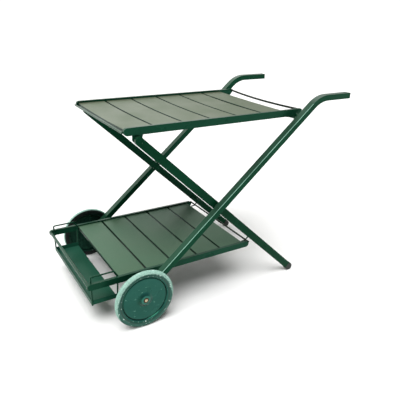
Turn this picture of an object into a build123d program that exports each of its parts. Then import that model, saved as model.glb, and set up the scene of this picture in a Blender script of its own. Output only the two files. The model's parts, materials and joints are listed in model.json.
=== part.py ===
"""Folding bar cart: two steel arms on wheels cross two steel legs, two slatted trays fold between.

Millimetres. +Z is up, +X runs from the bottle shelf to the handles, the cart is symmetric about
the XZ plane, and the origin lies on the floor under the middle of the cart's bounding box.
Near is the side at -Y and far is the side at +Y.
"""
from build123d import *
from math import cos, radians, sin, tan
import os

os.makedirs("parts", exist_ok=True)

# Stock wheel that sets the scale; the axle's height carries the rest of the cart
wheel_r = 100.0
tyre_depth = 20.0
tyre_seat_r = wheel_r - tyre_depth
hub_w = 19.0
axle_r = 5.0
axle_x = -322.0

# Arms: one bent rectangular tube on each side
arm_angle = 40.5
arm_w = 24.0
arm_d = 18.0
arm_mid_y = 238.0
arm_in_y = arm_mid_y - arm_w / 2
arm_out_y = arm_mid_y + arm_w / 2
arm_tail = 14.0
handle_rise = 573.0
handle_z = wheel_r + handle_rise
handle_reach = 808.5
handle_end_x = axle_x + handle_reach
bend_r = 110.0
tube_wall = 1.5
tube_corner_r = 2.5
plug_cap = 2.0
plug_depth = 12.0

# Legs: one straight flat tube on each side, inboard of the arms
leg_angle = 42.9
leg_d = 28.0
leg_w = 14.0
leg_gap = 1.5
leg_out_y = arm_in_y - leg_gap
leg_in_y = leg_out_y - leg_w
leg_mid_y = leg_out_y - leg_w / 2
foot_wall = 2.0
foot_grip = 40.0
foot_end = 4.5
foot_rise = 11.74

# Scissor joint and the two tray hinges
axle_to_pivot = 373.5
axle_to_low_pin = 55.3
up_hinge_drop = 42.4
stud_lift = 2.17
pivot_r = 5.0
rivet_head_r = 7.4
hinge_r = 4.0
stud_r = 5.0
lug_r = 8.0
lug_half_w = 13.0
lug_lap = 3.0
lug_shoulder = 2.0
lug_t = 3.0

# Fits
run_fit = 0.06
face_gap = 0.2
rest_gap = 0.5

# Trays, each hung between the legs
rail_gap = 1.0
rail_out_y = leg_in_y - rail_gap
rail_w = 10.0
rail_in_y = rail_out_y - rail_w
rail_wall = 1.5
lug_y1 = rail_out_y - rail_wall
lug_y0 = lug_y1 - lug_t
up_tray_rise = 535.0
up_top_z = wheel_r + up_tray_rise
up_rail_h = 23.0
up_front_out = 31.0
up_front_x = axle_x - up_front_out
up_slat_drop = 7.0
up_slat_z = up_top_z - up_slat_drop
up_slat_in = 6.5
up_slat_x0 = up_front_x + up_slat_in
up_gap_in = 104.0
up_gap_x0 = up_front_x + up_gap_in
up_rear_gap = 56.43
up_slats = 6
up_last_slat_w = 84.75
low_tray_rise = 70.0
low_top_z = wheel_r + low_tray_rise
low_rail_h = 21.0
low_rail_l = 602.5
low_front_out = 164.5
low_front_x = axle_x - low_front_out
low_rear_x = low_front_x + low_rail_l
low_slat_drop = 5.0
low_slat_z = low_top_z - low_slat_drop
low_slat_in = 105.5
low_slat_x0 = low_front_x + low_slat_in
low_rear_gap = 21.0
low_slats = 5
low_pitch = (low_rear_x - low_rear_gap - low_slat_x0) / low_slats
slat_gap = 5.5
slat_t = 1.2
slat_fold = 10.0

# Rods, wires and the bottle shelf
front_rod_r = 3.0
front_bar_r = 4.75
up_wire_r = 2.25
low_wire_r = 2.5
low_wire_in = 3.0
low_wire_x = low_rear_x - low_wire_in
low_wire_drop = 2.0
low_wire_z = low_slat_z - low_wire_drop
hook_r = 2.5
hook_root = 29.0
hook_rise = 15.0
hook_in = 19.5
hook_y = rail_in_y - hook_in
hook_lean = 2.0
hook_cup = 7.0
hook_toe = 8.0
hook_bend_r = 4.0
guard_r = 2.0
guard_y = rail_in_y - guard_r
guard_rise = 18.0
guard_slope = 11.5
guard_lap = 2.5
guard_bend_r = 5.0
shelf_drop = 84.0
shelf_lip = 17.0
shelf_front_in = 14.0
shelf_x0 = low_front_x + shelf_front_in
shelf_back_gap = 4.5
shelf_x1 = low_slat_x0 - shelf_back_gap
shelf_z0 = low_top_z - shelf_drop
shelf_z1 = shelf_z0 + shelf_lip
shelf_y = guard_y - guard_r
shelf_t = 1.2

# Points of the linkage in the XZ plane
arm_dx = cos(radians(arm_angle))
arm_dz = sin(radians(arm_angle))
leg_dx = cos(radians(leg_angle))
leg_dz = sin(radians(leg_angle))
up_low_z = up_top_z - up_rail_h
pivot = (axle_x + axle_to_pivot * arm_dx, wheel_r + axle_to_pivot * arm_dz)
low_pin = (axle_x + axle_to_low_pin * arm_dx, wheel_r + axle_to_low_pin * arm_dz)
axle_to_stud = (up_low_z + stud_lift - wheel_r) / arm_dz
stud = (axle_x + axle_to_stud * arm_dx, wheel_r + axle_to_stud * arm_dz)
leg_up = (up_top_z - up_hinge_drop - pivot[1]) / leg_dz
leg_down = (pivot[1] - foot_rise) / leg_dz
leg_top = (pivot[0] - leg_up * leg_dx, pivot[1] + leg_up * leg_dz)
leg_end = (pivot[0] + leg_down * leg_dx, pivot[1] - leg_down * leg_dz)
corner_x = axle_x + (handle_z - wheel_r) / tan(radians(arm_angle))
SIDES = ((-1, "near"), (1, "far"))


def spans(y_a, y_b):
    """The same span of |y| on the near side and on the far side, lowest y first."""
    return ((-y_b, -y_a), (y_a, y_b))


def wall_plane(y_high):
    """XZ plane at y_high; extruding from it runs towards -Y."""
    return Plane.XZ.offset(-y_high)


def export(piece, label):
    piece.part.label = label
    export_step(piece.part, f"parts/{label}.step")


# Arms: swept rectangular tubes from the axle up to the handles
for side, tag in SIDES:
    y = side * arm_mid_y
    with BuildPart() as arm:
        with BuildLine() as arm_line:
            FilletPolyline(
                (axle_x - arm_tail * arm_dx, y, wheel_r - arm_tail * arm_dz),
                (corner_x, y, handle_z),
                (handle_end_x - plug_cap, y, handle_z),
                radius=bend_r,
            )
        start = Plane(arm_line.line @ 0, x_dir=(0, 1, 0), z_dir=arm_line.line % 0)
        with BuildSketch(start):
            RectangleRounded(arm_w, arm_d, tube_corner_r)
        sweep(path=arm_line.line)
        with BuildSketch(start):
            RectangleRounded(arm_w - 2 * tube_wall, arm_d - 2 * tube_wall, tube_corner_r - tube_wall)
        sweep(path=arm_line.line, mode=Mode.SUBTRACT)
        for centre, radius in (((axle_x, wheel_r), axle_r), (low_pin, hinge_r), (pivot, pivot_r)):
            with BuildSketch(wall_plane(y + arm_w)):
                with Locations(centre):
                    Circle(radius)
            extrude(amount=2 * arm_w, mode=Mode.SUBTRACT)
    export(arm, f"arm_{tag}")

# Plugs: pressed into the handle ends
with BuildPart() as handle_plugs:
    for side, tag in SIDES:
        with BuildSketch(Plane.YZ.offset(handle_end_x - plug_cap)):
            with Locations((side * arm_mid_y, handle_z)):
                RectangleRounded(arm_w, arm_d, tube_corner_r)
        extrude(amount=plug_cap)
        with BuildSketch(Plane.YZ.offset(handle_end_x - plug_cap)):
            with Locations((side * arm_mid_y, handle_z)):
                RectangleRounded(arm_w - 2 * tube_wall, arm_d - 2 * tube_wall, tube_corner_r - tube_wall)
        extrude(amount=-plug_depth)
export(handle_plugs, "handle_plugs")

# Plugs: pressed into the lower ends of the arms, short of the axle
with BuildPart() as arm_foot_plugs:
    for side, tag in SIDES:
        tail = Plane(
            (axle_x - arm_tail * arm_dx, side * arm_mid_y, wheel_r - arm_tail * arm_dz),
            x_dir=(0, 1, 0),
            z_dir=(arm_dx, 0, arm_dz),
        )
        with BuildSketch(tail):
            RectangleRounded(arm_w, arm_d, tube_corner_r)
        extrude(amount=-plug_cap)
        with BuildSketch(tail):
            RectangleRounded(arm_w - 2 * tube_wall, arm_d - 2 * tube_wall, tube_corner_r - tube_wall)
        extrude(amount=arm_tail - axle_r - 2 * rest_gap)
export(arm_foot_plugs, "arm_foot_plugs")

# Axle: one steel bar through both arms and both wheels
hub_in_y = arm_out_y + 1.0
hub_out_y = hub_in_y + hub_w
axle_end_y = hub_out_y + 1.5
washer_r = 11.0
cap_r = 8.5
with BuildPart() as axle:
    with BuildSketch(wall_plane(axle_end_y)):
        with Locations((axle_x, wheel_r)):
            Circle(axle_r)
    extrude(amount=2 * axle_end_y)
export(axle, "axle")

# Thin washers between the arms and the hubs
with BuildPart() as axle_washers:
    for y_low, y_high in spans(arm_out_y, hub_in_y - face_gap):
        with BuildSketch(wall_plane(y_high)):
            with Locations((axle_x, wheel_r)):
                Circle(washer_r)
                Circle(axle_r, mode=Mode.SUBTRACT)
        extrude(amount=y_high - y_low)
export(axle_washers, "axle_washers")

# Push-on caps that keep the wheels on the axle
with BuildPart() as axle_caps:
    for y_low, y_high in spans(hub_out_y + face_gap, axle_end_y - 0.1):
        with BuildSketch(wall_plane(y_high)):
            with Locations((axle_x, wheel_r)):
                Circle(cap_r)
                Circle(axle_r, mode=Mode.SUBTRACT)
        extrude(amount=y_high - y_low)
export(axle_caps, "axle_caps")

# Scissor rivets: flush in the arms, countersunk in the inner wall of the legs
with BuildPart() as pivot_rivets:
    for y_low, y_high in spans(leg_in_y + 0.1, arm_out_y):
        with BuildSketch(wall_plane(y_high)):
            with Locations(pivot):
                Circle(pivot_r)
        extrude(amount=y_high - y_low)
    head_h = rivet_head_r - pivot_r
    for side, tag in SIDES:
        head = Plane((pivot[0], side * (leg_in_y + 0.1), pivot[1]), z_dir=(0, side, 0))
        with Locations(head):
            Cone(rivet_head_r, pivot_r, head_h, align=(Align.CENTER, Align.CENTER, Align.MIN))
export(pivot_rivets, "pivot_rivets")

# Nylon spacers between legs and arms at the scissor joint
spacer_r = 12.0
with BuildPart() as pivot_spacers:
    for y_low, y_high in spans(leg_out_y + face_gap, arm_in_y):
        with BuildSketch(wall_plane(y_high)):
            with Locations(pivot):
                Circle(spacer_r)
                Circle(pivot_r, mode=Mode.SUBTRACT)
        extrude(amount=y_high - y_low)
export(pivot_spacers, "pivot_spacers")

# Studs on the inner faces of the arms that carry the rear of the upper tray
with BuildPart() as tray_studs:
    for y_low, y_high in spans(rail_in_y + 1.0, arm_in_y):
        with BuildSketch(wall_plane(y_high)):
            with Locations(stud):
                Circle(stud_r)
        extrude(amount=y_high - y_low)
export(tray_studs, "tray_studs")

# Hinge rod of the lower tray, tying the two arms together
with BuildPart() as lower_hinge_rod:
    with BuildSketch(wall_plane(arm_out_y)):
        with Locations(low_pin):
            Circle(hinge_r)
    extrude(amount=2 * arm_out_y)
export(lower_hinge_rod, "lower_hinge_rod")

# Sleeves on that rod, from the tray lugs out to the arms
sleeve_r = 7.0
with BuildPart() as lower_hinge_sleeves:
    for y_low, y_high in spans(lug_y1 + face_gap, arm_in_y):
        with BuildSketch(wall_plane(y_high)):
            with Locations(low_pin):
                Circle(sleeve_r)
                Circle(hinge_r, mode=Mode.SUBTRACT)
        extrude(amount=y_high - y_low)
export(lower_hinge_sleeves, "lower_hinge_sleeves")

# Legs: flat tubes with a round upper end, open below under the rubber foot
for (y_low, y_high), (side, tag) in zip(spans(leg_in_y, leg_out_y), SIDES):
    leg_plane = Plane((pivot[0], y_high, pivot[1]), x_dir=(leg_dx, 0, -leg_dz), z_dir=(0, -1, 0))
    with BuildPart() as leg:
        with BuildSketch(leg_plane):
            with Locations((-leg_up, 0)):
                Circle(leg_d / 2)
            with Locations(((leg_down - leg_up) / 2, 0)):
                Rectangle(leg_down + leg_up, leg_d)
        extrude(amount=leg_w)
        rim = leg.faces().filter_by(Axis.Y).edges()
        fillet(rim, radius=tube_corner_r - 0.5)
        with BuildSketch(leg_plane.offset(tube_wall)):
            with Locations((-leg_up, 0)):
                Circle(leg_d / 2 - tube_wall)
            with Locations(((leg_down - leg_up) / 2, 0)):
                Rectangle(leg_down + leg_up, leg_d - 2 * tube_wall)
        extrude(amount=leg_w - 2 * tube_wall, mode=Mode.SUBTRACT)
        with BuildSketch(leg_plane):
            with Locations((-leg_up, 0)):
                Circle(hinge_r)
        extrude(amount=leg_w, mode=Mode.SUBTRACT)
        with BuildSketch(leg_plane):
            Circle(pivot_r + run_fit)
        extrude(amount=leg_w, mode=Mode.SUBTRACT)
        seat = Plane((pivot[0], side * (leg_in_y - 0.1), pivot[1]), z_dir=(0, side, 0))
        with Locations(seat):
            Cone(
                rivet_head_r + run_fit + 0.2,
                pivot_r + run_fit,
                rivet_head_r - pivot_r + 0.2,
                align=(Align.CENTER, Align.CENTER, Align.MIN),
                mode=Mode.SUBTRACT,
            )
    export(leg, f"leg_{tag}")

# Rubber feet, trimmed to a flat where they meet the floor
with BuildPart() as foot_caps:
    for y_low, y_high in spans(leg_in_y - foot_wall, leg_out_y + foot_wall):
        cap_plane = Plane((leg_end[0], y_high, leg_end[1]), x_dir=(leg_dx, 0, -leg_dz), z_dir=(0, -1, 0))
        with BuildSketch(cap_plane):
            with Locations(((foot_end - foot_grip) / 2, 0)):
                RectangleRounded(foot_grip + foot_end, leg_d + 2 * foot_wall, foot_wall)
        extrude(amount=leg_w + 2 * foot_wall)
    for y_low, y_high in spans(leg_in_y, leg_out_y):
        cap_plane = Plane((leg_end[0], y_high, leg_end[1]), x_dir=(leg_dx, 0, -leg_dz), z_dir=(0, -1, 0))
        with BuildSketch(cap_plane):
            with Locations((-foot_grip / 2, 0)):
                Rectangle(foot_grip, leg_d)
        extrude(amount=leg_w, mode=Mode.SUBTRACT)
    with Locations((leg_end[0], 0, 0)):
        Box(
            4 * foot_grip,
            3 * leg_mid_y,
            2 * foot_grip,
            align=(Align.CENTER, Align.CENTER, Align.MAX),
            mode=Mode.SUBTRACT,
        )
export(foot_caps, "foot_caps")

# Hinge rod of the upper tray, tying the tops of the two legs together
rod_end_y = leg_out_y + 1.0
with BuildPart() as upper_hinge_rod:
    with BuildSketch(wall_plane(rod_end_y)):
        with Locations(leg_top):
            Circle(hinge_r)
    extrude(amount=2 * rod_end_y)
export(upper_hinge_rod, "upper_hinge_rod")

# Washers on that rod, between the legs and the tray lugs
hinge_washer_r = 9.0
with BuildPart() as upper_hinge_washers:
    for y_low, y_high in spans(lug_y1 + face_gap, leg_in_y):
        with BuildSketch(wall_plane(y_high)):
            with Locations(leg_top):
                Circle(hinge_washer_r)
                Circle(hinge_r, mode=Mode.SUBTRACT)
        extrude(amount=y_high - y_low)
export(upper_hinge_washers, "upper_hinge_washers")

# Hooks on the legs that carry the rear wire of the lower tray
hook_under_z = low_wire_z - low_wire_r - hook_r - rest_gap
for side, tag in SIDES:
    with BuildPart() as leg_hook:
        with BuildLine() as hook_line:
            FilletPolyline(
                (low_wire_x + hook_root, side * leg_in_y, low_wire_z + hook_rise),
                (low_wire_x + hook_root, side * (hook_y + hook_lean), low_wire_z + hook_rise),
                (low_wire_x + hook_cup, side * hook_y, hook_under_z + 0.4),
                (low_wire_x - hook_toe, side * hook_y, hook_under_z - 0.4),
                radius=hook_bend_r,
            )
        with BuildSketch(Plane(hook_line.line @ 0, z_dir=hook_line.line % 0)):
            Circle(hook_r)
        sweep(path=hook_line.line)
    export(leg_hook, f"leg_hook_{tag}")

# Upper side rails: channels open below, their rear ends cut parallel to the arms
up_mid_z = up_top_z - up_rail_h / 2
cut_off = stud_r + rest_gap
cut_top_x = axle_x + (up_top_z - wheel_r) / tan(radians(arm_angle)) - cut_off / arm_dz
cut_low_x = axle_x + (up_low_z - wheel_r) / tan(radians(arm_angle)) - cut_off / arm_dz
rear_wall_x = rail_wall / arm_dz
for (y_low, y_high), (side, tag) in zip(spans(rail_in_y, rail_out_y), SIDES):
    with BuildPart() as upper_rail:
        with BuildSketch(wall_plane(y_high)):
            with Locations((up_front_x + up_rail_h / 2, up_mid_z)):
                Circle(up_rail_h / 2)
            Polygon(
                (up_front_x + up_rail_h / 2, up_low_z),
                (cut_low_x, up_low_z),
                (cut_top_x, up_top_z),
                (up_front_x + up_rail_h / 2, up_top_z),
                align=None,
            )
        extrude(amount=rail_w)
        with BuildSketch(wall_plane(y_high - rail_wall)):
            with Locations((up_front_x + up_rail_h / 2, up_mid_z)):
                Circle(up_rail_h / 2 - rail_wall)
            Polygon(
                (up_front_x + up_rail_h / 2, up_low_z - 1),
                (cut_low_x - rear_wall_x - 2, up_low_z - 1),
                (cut_low_x - rear_wall_x - 2, up_low_z + 1),
                (cut_top_x - rear_wall_x - 2, up_top_z - rail_wall),
                (up_front_x + up_rail_h / 2, up_top_z - rail_wall),
                align=None,
            )
        extrude(amount=rail_w - 2 * rail_wall, mode=Mode.SUBTRACT)
    export(upper_rail, f"upper_rail_{tag}")

# Lower side rails: channels open below with round ends
low_low_z = low_top_z - low_rail_h
low_mid_z = low_top_z - low_rail_h / 2
low_r = low_rail_h / 2
for (y_low, y_high), (side, tag) in zip(spans(rail_in_y, rail_out_y), SIDES):
    with BuildPart() as lower_rail:
        with BuildSketch(wall_plane(y_high)):
            with Locations(((low_front_x + low_rear_x) / 2, low_mid_z)):
                SlotOverall(low_rear_x - low_front_x, low_rail_h)
        extrude(amount=rail_w)
        with BuildSketch(wall_plane(y_high - rail_wall)):
            with Locations(((low_front_x + low_rear_x) / 2, low_mid_z)):
                SlotOverall(low_rear_x - low_front_x - 2 * rail_wall, low_rail_h - 2 * rail_wall)
            with Locations(((low_front_x + low_rear_x) / 2, low_low_z)):
                Rectangle(low_rear_x - low_front_x - 2 * low_r, 2 * low_r)
        extrude(amount=rail_w - 2 * rail_wall, mode=Mode.SUBTRACT)
    export(lower_rail, f"lower_rail_{tag}")


def slat(x_low, x_high, top_z, label):
    """Sheet slat with both long edges folded down, butted against the two rails."""
    with BuildPart() as plank:
        with BuildSketch(wall_plane(rail_in_y)):
            with Locations(((x_low + x_high) / 2, top_z - slat_fold / 2)):
                Rectangle(x_high - x_low, slat_fold)
            with Locations(((x_low + x_high) / 2, top_z - slat_t - slat_fold / 2)):
                Rectangle(x_high - x_low - 2 * slat_t, slat_fold, mode=Mode.SUBTRACT)
        extrude(amount=2 * rail_in_y)
    export(plank, label)


# Slats of the upper tray, the rearmost one narrower
up_slat_x1 = cut_top_x - up_rear_gap
up_pitch = (up_slat_x1 - up_last_slat_w - slat_gap / 2 - up_gap_x0) / (up_slats - 2)
for i in range(up_slats):
    slat_low = up_slat_x0 if i == 0 else up_gap_x0 + (i - 1) * up_pitch + slat_gap / 2
    slat_high = up_gap_x0 + i * up_pitch - slat_gap / 2
    if i == up_slats - 1:
        slat_high = slat_low + up_last_slat_w
    slat(slat_low, slat_high, up_slat_z, f"upper_slat_{i + 1}")

# Slats of the lower tray, all alike
for i in range(low_slats):
    slat_low = low_slat_x0 + i * low_pitch + (slat_gap / 2 if i > 0 else 0)
    slat_high = low_slat_x0 + (i + 1) * low_pitch - (slat_gap / 2 if i < low_slats - 1 else 0)
    slat(slat_low, slat_high, low_slat_z, f"lower_slat_{i + 1}")

# Rod along the front edge of the upper tray
with BuildPart() as upper_front_rod:
    with BuildSketch(wall_plane(rail_in_y)):
        with Locations((up_front_x + front_rod_r + 0.1, up_slat_z - front_rod_r - rest_gap)):
            Circle(front_rod_r)
    extrude(amount=2 * rail_in_y)
export(upper_front_rod, "upper_front_rod")

# Bowed wire across the rear of the upper tray
wire_x = cut_top_x - 4.0
wire_bow = 14.0
with BuildPart() as upper_rear_wire:
    with BuildLine() as bow:
        ThreePointArc(
            (wire_x, -rail_in_y, up_slat_z),
            (wire_x - wire_bow, 0, up_slat_z),
            (wire_x, rail_in_y, up_slat_z),
        )
    with BuildSketch(Plane(bow.line @ 0, z_dir=bow.line % 0)):
        Circle(up_wire_r)
    sweep(path=bow.line)
export(upper_rear_wire, "upper_rear_wire")

# Lugs under the upper rails, turning on the rod through the leg tops
with BuildPart() as upper_lugs:
    for y_low, y_high in spans(lug_y0, lug_y1):
        with BuildSketch(wall_plane(y_high)):
            with BuildLine():
                Polyline(
                    (leg_top[0] - lug_half_w, up_top_z - lug_lap),
                    (leg_top[0] + lug_half_w, up_top_z - lug_lap),
                    (leg_top[0] + lug_half_w, up_low_z - lug_shoulder),
                    (leg_top[0] + lug_r, leg_top[1]),
                    (leg_top[0] - lug_r, leg_top[1]),
                    (leg_top[0] - lug_half_w, up_low_z - lug_shoulder),
                    close=True,
                )
            make_face()
            with Locations(leg_top):
                Circle(lug_r)
                Circle(hinge_r + run_fit, mode=Mode.SUBTRACT)
        extrude(amount=y_high - y_low)
export(upper_lugs, "upper_lugs")

# Hook plates under the rear of the upper rails, nosed around the studs
plate_lap = 8.0
plate_front = 51.0
plate_belly = 32.0
plate_belly_drop = 5.0
plate_waist = 18.0
plate_waist_drop = 8.6
plate_nose = 4.0
plate_nose_drop = 13.5
plate_tip = 2.0
plate_tip_drop = 8.4
plate_throat = 6.0
plate_throat_drop = 3.4
plate_heel = 11.2
plate_root = 15.6
with BuildPart() as upper_hook_plates:
    for y_low, y_high in spans(lug_y0, lug_y1):
        with BuildSketch(wall_plane(y_high)):
            with BuildLine():
                Polyline(
                    (stud[0] - plate_front, up_low_z + plate_lap),
                    (stud[0] - plate_front, up_low_z),
                    (stud[0] - plate_belly, stud[1] - plate_belly_drop),
                    (stud[0] - plate_waist, stud[1] - plate_waist_drop),
                    (stud[0] - plate_nose, stud[1] - plate_nose_drop),
                    (stud[0] - plate_tip, stud[1] - plate_tip_drop),
                    (stud[0] - plate_throat, stud[1] - plate_throat_drop),
                    (stud[0] - plate_heel, up_low_z),
                    (stud[0] - plate_root, up_low_z),
                    (stud[0] - plate_root, up_low_z + plate_lap),
                    close=True,
                )
            make_face()
        extrude(amount=y_high - y_low)
export(upper_hook_plates, "upper_hook_plates")

# Round bar across the front of the lower tray
with BuildPart() as lower_front_bar:
    with BuildSketch(wall_plane(rail_in_y)):
        with Locations((low_front_x + front_bar_r + 0.75, low_mid_z + 2.0)):
            Circle(front_bar_r)
    extrude(amount=2 * rail_in_y)
export(lower_front_bar, "lower_front_bar")

# Wire across the rear of the lower tray, lying in the leg hooks
with BuildPart() as lower_rear_wire:
    with BuildSketch(wall_plane(rail_in_y)):
        with Locations((low_wire_x, low_wire_z)):
            Circle(low_wire_r)
    extrude(amount=2 * rail_in_y)
export(lower_rear_wire, "lower_rear_wire")

# Lugs under the lower rails, turning on the rod through the arms
with BuildPart() as lower_lugs:
    for y_low, y_high in spans(lug_y0, lug_y1):
        with BuildSketch(wall_plane(y_high)):
            with BuildLine():
                Polyline(
                    (low_pin[0] - lug_half_w, low_top_z - lug_lap),
                    (low_pin[0] + lug_half_w, low_top_z - lug_lap),
                    (low_pin[0] + lug_half_w, low_low_z - lug_shoulder / 2),
                    (low_pin[0] + lug_r, low_pin[1]),
                    (low_pin[0] - lug_r, low_pin[1]),
                    (low_pin[0] - lug_half_w, low_low_z - lug_shoulder / 2),
                    close=True,
                )
            make_face()
            with Locations(low_pin):
                Circle(lug_r)
                Circle(hinge_r + run_fit, mode=Mode.SUBTRACT)
        extrude(amount=y_high - y_low)
export(lower_lugs, "lower_lugs")

# Bottle shelf: a folded sheet tray with a front lip and two end lips
with BuildPart() as bottle_shelf:
    with Locations(((shelf_x0 + shelf_x1) / 2, 0, shelf_z0)):
        Box(shelf_x1 - shelf_x0, 2 * shelf_y, shelf_z1 - shelf_z0, align=(Align.CENTER, Align.CENTER, Align.MIN))
    with Locations((shelf_x0 + shelf_t, 0, shelf_z0 + shelf_t)):
        Box(
            shelf_x1 - shelf_x0,
            2 * (shelf_y - shelf_t),
            shelf_z1 - shelf_z0,
            align=(Align.MIN, Align.CENTER, Align.MIN),
            mode=Mode.SUBTRACT,
        )
export(bottle_shelf, "bottle_shelf")

# Wire guards: each loops over a rail end and carries one end of the bottle shelf
guard_top_z = low_top_z + guard_rise
for side, tag in SIDES:
    y = side * guard_y
    with BuildPart() as bottle_guard:
        with BuildLine() as guard_line:
            FilletPolyline(
                (shelf_x0 + guard_lap, y, shelf_z0 + 1.0),
                (shelf_x0 + 1.0, y, guard_top_z),
                (shelf_x1 - guard_slope, y, guard_top_z),
                (shelf_x1 + 1.5, y, low_top_z - guard_r),
                (shelf_x1 - guard_lap, y, shelf_z0 + 1.0),
                radius=guard_bend_r,
            )
        with BuildSketch(Plane(guard_line.line @ 0, z_dir=guard_line.line % 0)):
            Circle(guard_r)
        sweep(path=guard_line.line)
    export(bottle_guard, f"bottle_guard_{tag}")

# Wheels: tyre, dished disc and hub bush on each side
tyre_mid = 9.5
tyre_half_w = 8.0
shoulder_half_w = 6.9
root_half_w = 7.3
crown_h = 4.0
shoulder_r = wheel_r - crown_h
belly_drop = 9.0
belly_r = wheel_r - belly_drop
root_r = tyre_seat_r + crown_h
rim_in = 4.0
rim_out = 14.5
disc_t = 3.0
rim_r = tyre_seat_r - disc_t
groove_in = 5.2
groove_r = tyre_seat_r - groove_in
groove_back_r = tyre_seat_r - 4.0
dish_in = 8.0
dish_r = tyre_seat_r - dish_in
dish_face = 13.0
cone_r = 27.0
boss_r = 14.0
bush_r = 9.0
flange_r = 12.0
boss_out = hub_out_y - arm_out_y
for side, tag in SIDES:
    section = Plane((axle_x, side * arm_out_y, wheel_r), x_dir=(1, 0, 0), z_dir=(0, 0, side))
    turn = Axis((axle_x, 0, wheel_r), (0, 1, 0))
    with BuildPart() as tyre:
        with BuildSketch(section):
            with BuildLine():
                Polyline(
                    (tyre_seat_r, rim_out),
                    (root_r, tyre_mid + root_half_w),
                    (belly_r, tyre_mid + tyre_half_w),
                    (shoulder_r, tyre_mid + shoulder_half_w),
                )
                ThreePointArc(
                    (shoulder_r, tyre_mid + shoulder_half_w),
                    (wheel_r, tyre_mid),
                    (shoulder_r, tyre_mid - shoulder_half_w),
                )
                Polyline(
                    (shoulder_r, tyre_mid - shoulder_half_w),
                    (belly_r, tyre_mid - tyre_half_w),
                    (root_r, tyre_mid - root_half_w),
                    (tyre_seat_r, rim_in),
                    (tyre_seat_r, rim_out),
                )
            make_face()
        revolve(axis=turn)
    export(tyre, f"tyre_{tag}")
    with BuildPart() as wheel_disc:
        with BuildSketch(section):
            with BuildLine():
                Polyline(
                    (bush_r, boss_out),
                    (boss_r, boss_out),
                    (cone_r, dish_face + 0.6),
                    (dish_r, dish_face),
                    (groove_r, dish_face - 2.0),
                    (rim_r, rim_out),
                    (tyre_seat_r, rim_out),
                    (tyre_seat_r, rim_in),
                    (rim_r, rim_in),
                    (groove_back_r, dish_face - 5.0),
                    (dish_r, dish_face - disc_t),
                    (cone_r, dish_face + 0.6 - disc_t),
                    (boss_r, boss_out - 5.0),
                    (boss_r - 1.0, disc_t),
                    (bush_r, disc_t),
                    close=True,
                )
            make_face()
        revolve(axis=turn)
    export(wheel_disc, f"wheel_disc_{tag}")
    with BuildPart() as hub_bush:
        with BuildSketch(section):
            with BuildLine():
                Polyline(
                    (axle_r + run_fit, hub_in_y - arm_out_y),
                    (flange_r, hub_in_y - arm_out_y),
                    (flange_r, disc_t),
                    (bush_r, disc_t),
                    (bush_r, boss_out),
                    (axle_r + run_fit, boss_out),
                    close=True,
                )
            make_face()
        revolve(axis=turn)
    export(hub_bush, f"hub_bush_{tag}")
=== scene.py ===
"""Folding bar cart in deep green enamel, for Blender 4.5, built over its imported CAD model.

Metres. The cart stands on the floor at z = 0 and +X runs from the bottle shelf to the handles. Near is
the side at -Y, far is the side at +Y. Sections follow the cart as it is put together.
"""
import json
from math import cos, pi, radians, sin

import bmesh
import bpy
from mathutils import Matrix, Vector


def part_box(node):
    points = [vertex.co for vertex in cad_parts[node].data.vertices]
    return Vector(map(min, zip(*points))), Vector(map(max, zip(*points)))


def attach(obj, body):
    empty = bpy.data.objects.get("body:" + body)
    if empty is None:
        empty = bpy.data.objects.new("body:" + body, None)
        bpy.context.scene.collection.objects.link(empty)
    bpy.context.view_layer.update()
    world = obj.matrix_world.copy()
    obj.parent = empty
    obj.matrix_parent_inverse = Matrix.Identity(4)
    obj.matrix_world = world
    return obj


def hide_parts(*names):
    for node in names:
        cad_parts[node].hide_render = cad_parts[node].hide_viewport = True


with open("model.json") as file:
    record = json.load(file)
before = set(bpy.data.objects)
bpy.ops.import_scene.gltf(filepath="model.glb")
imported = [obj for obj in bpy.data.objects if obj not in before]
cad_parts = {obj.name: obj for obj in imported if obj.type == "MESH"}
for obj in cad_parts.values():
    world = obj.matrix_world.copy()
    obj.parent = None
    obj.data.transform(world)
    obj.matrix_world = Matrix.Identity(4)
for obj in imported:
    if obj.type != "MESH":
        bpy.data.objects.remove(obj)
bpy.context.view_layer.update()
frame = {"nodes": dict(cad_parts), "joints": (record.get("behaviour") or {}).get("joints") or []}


# Camera. It stands where the photograph was taken from, above the shelf corner of the cart and turned
# a little out of level. Its place and its 42 mm lens come from the straight edges of the cart.
def put(name, data):
    """Puts a new object into the scene."""
    thing = bpy.data.objects.new(name, data)
    bpy.context.scene.collection.objects.link(thing)
    return thing


def turned(degrees, axis):
    """A turn about one axis."""
    return Matrix.Rotation(radians(degrees), 4, axis)


lens = bpy.data.cameras.new("lens")
lens.lens = 42.084
lens.sensor_width = 36.0
camera = put("camera", lens)
heading, dip, roll = -32.28, 23.03, 1.88
camera_at = Matrix.Translation((-0.8384, -1.3812, 0.9621))
camera.matrix_world = camera_at @ turned(heading, "Z") @ turned(90 - dip, "X") @ turned(roll, "Z")
bpy.context.scene.camera = camera


# Studio. White paper lies on the floor and the wall far behind the cart is lit, while the room behind the
# camera is dimmer. One broad soft lamp stands high on the near shelf side, so shadows fall away from it.
def add(tree, kind, sockets=None, **settings):
    """Adds a node with its settings; each socket, found by identifier or name, gets a value or a link."""
    node = tree.nodes.new(kind)
    for name, value in settings.items():
        setattr(node, name, value)
    for key, value in (sockets or {}).items():
        same = [s for s in node.inputs if s.identifier == key] or [s for s in node.inputs if s.name == key]
        if isinstance(value, bpy.types.NodeSocket):
            tree.links.new(value, same[0])
        else:
            same[0].default_value = value
    return node


def colour(code):
    """Turns an sRGB hex value to linear red, green, blue and alpha."""
    parts = [int(code[i : i + 2], 16) / 255 for i in (1, 3, 5)]
    return (*(p / 12.92 if p <= 0.04045 else ((p + 0.055) / 1.055) ** 2.4 for p in parts), 1.0)


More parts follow.
